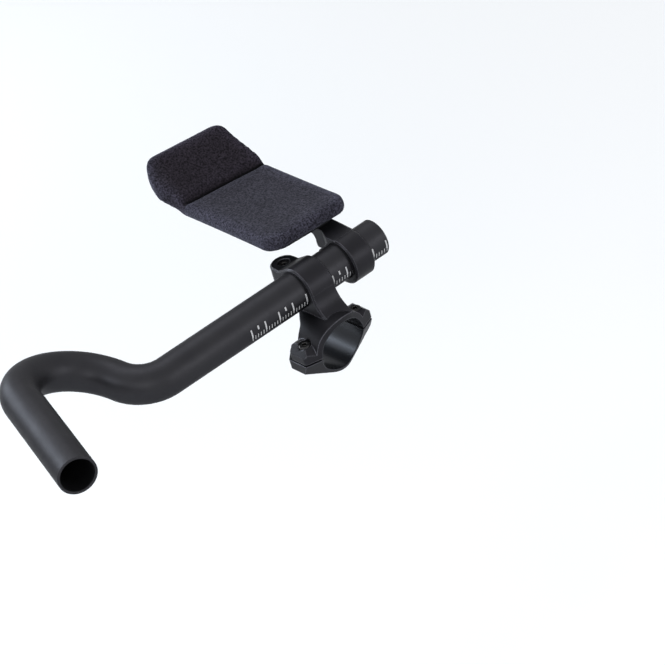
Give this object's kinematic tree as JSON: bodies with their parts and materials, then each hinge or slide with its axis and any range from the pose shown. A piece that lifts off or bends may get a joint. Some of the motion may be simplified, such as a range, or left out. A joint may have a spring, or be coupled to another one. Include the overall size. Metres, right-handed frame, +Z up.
{
  "type": "aero handlebar extension",
  "caption": "Bent aero extension tube in a split handlebar clamp, with a clamped bracket that carries a cupped forearm pad.",
  "frame": {"origin": "centre of the handlebar clamp's bore, in the plane where body and cap part", "axes": "+X along the handlebar axis towards the middle of the bicycle, -Y forward along the extension tube, +Z up"},
  "size_m": [0.1936, 0.2658, 0.0976],
  "materials": {
    "tube_black": "satin black anodised",
    "forged_black": "satin black, forged",
    "bolt_steel": "dark plated steel",
    "plate_black": "smooth moulded",
    "pad_fabric": "brushed fabric over foam",
    "hook_tape": "hook tape"
  },
  "bodies": {
    "clamp": {"clamp_body": "forged_black", "clamp_cap": "forged_black", "cap_bolt_front": "bolt_steel", "cap_bolt_rear": "bolt_steel", "clamp_pinch_bolt": "bolt_steel"},
    "extension": {"extension_tube": "tube_black"},
    "armrest": {"armrest_bracket": "forged_black", "bracket_pinch_bolt": "bolt_steel", "armrest_plate": "plate_black", "plate_screw_front": "bolt_steel", "plate_screw_rear": "bolt_steel", "arm_pad": "pad_fabric", "hook_patch_front": "hook_tape", "hook_patch_rear": "hook_tape", "hook_patch_wall": "hook_tape"}
  },
  "joints": [
    {"name": "reach_slide", "type": "slide", "parent": "clamp", "child": "extension", "axis": [0, -1, 0], "range_m": [-0.04, 0.0075]},
    {"name": "armrest_slide", "type": "slide", "parent": "extension", "child": "armrest", "axis": [0, -1, 0], "range_m": [-0.0135, 0.0075]}
  ]
}
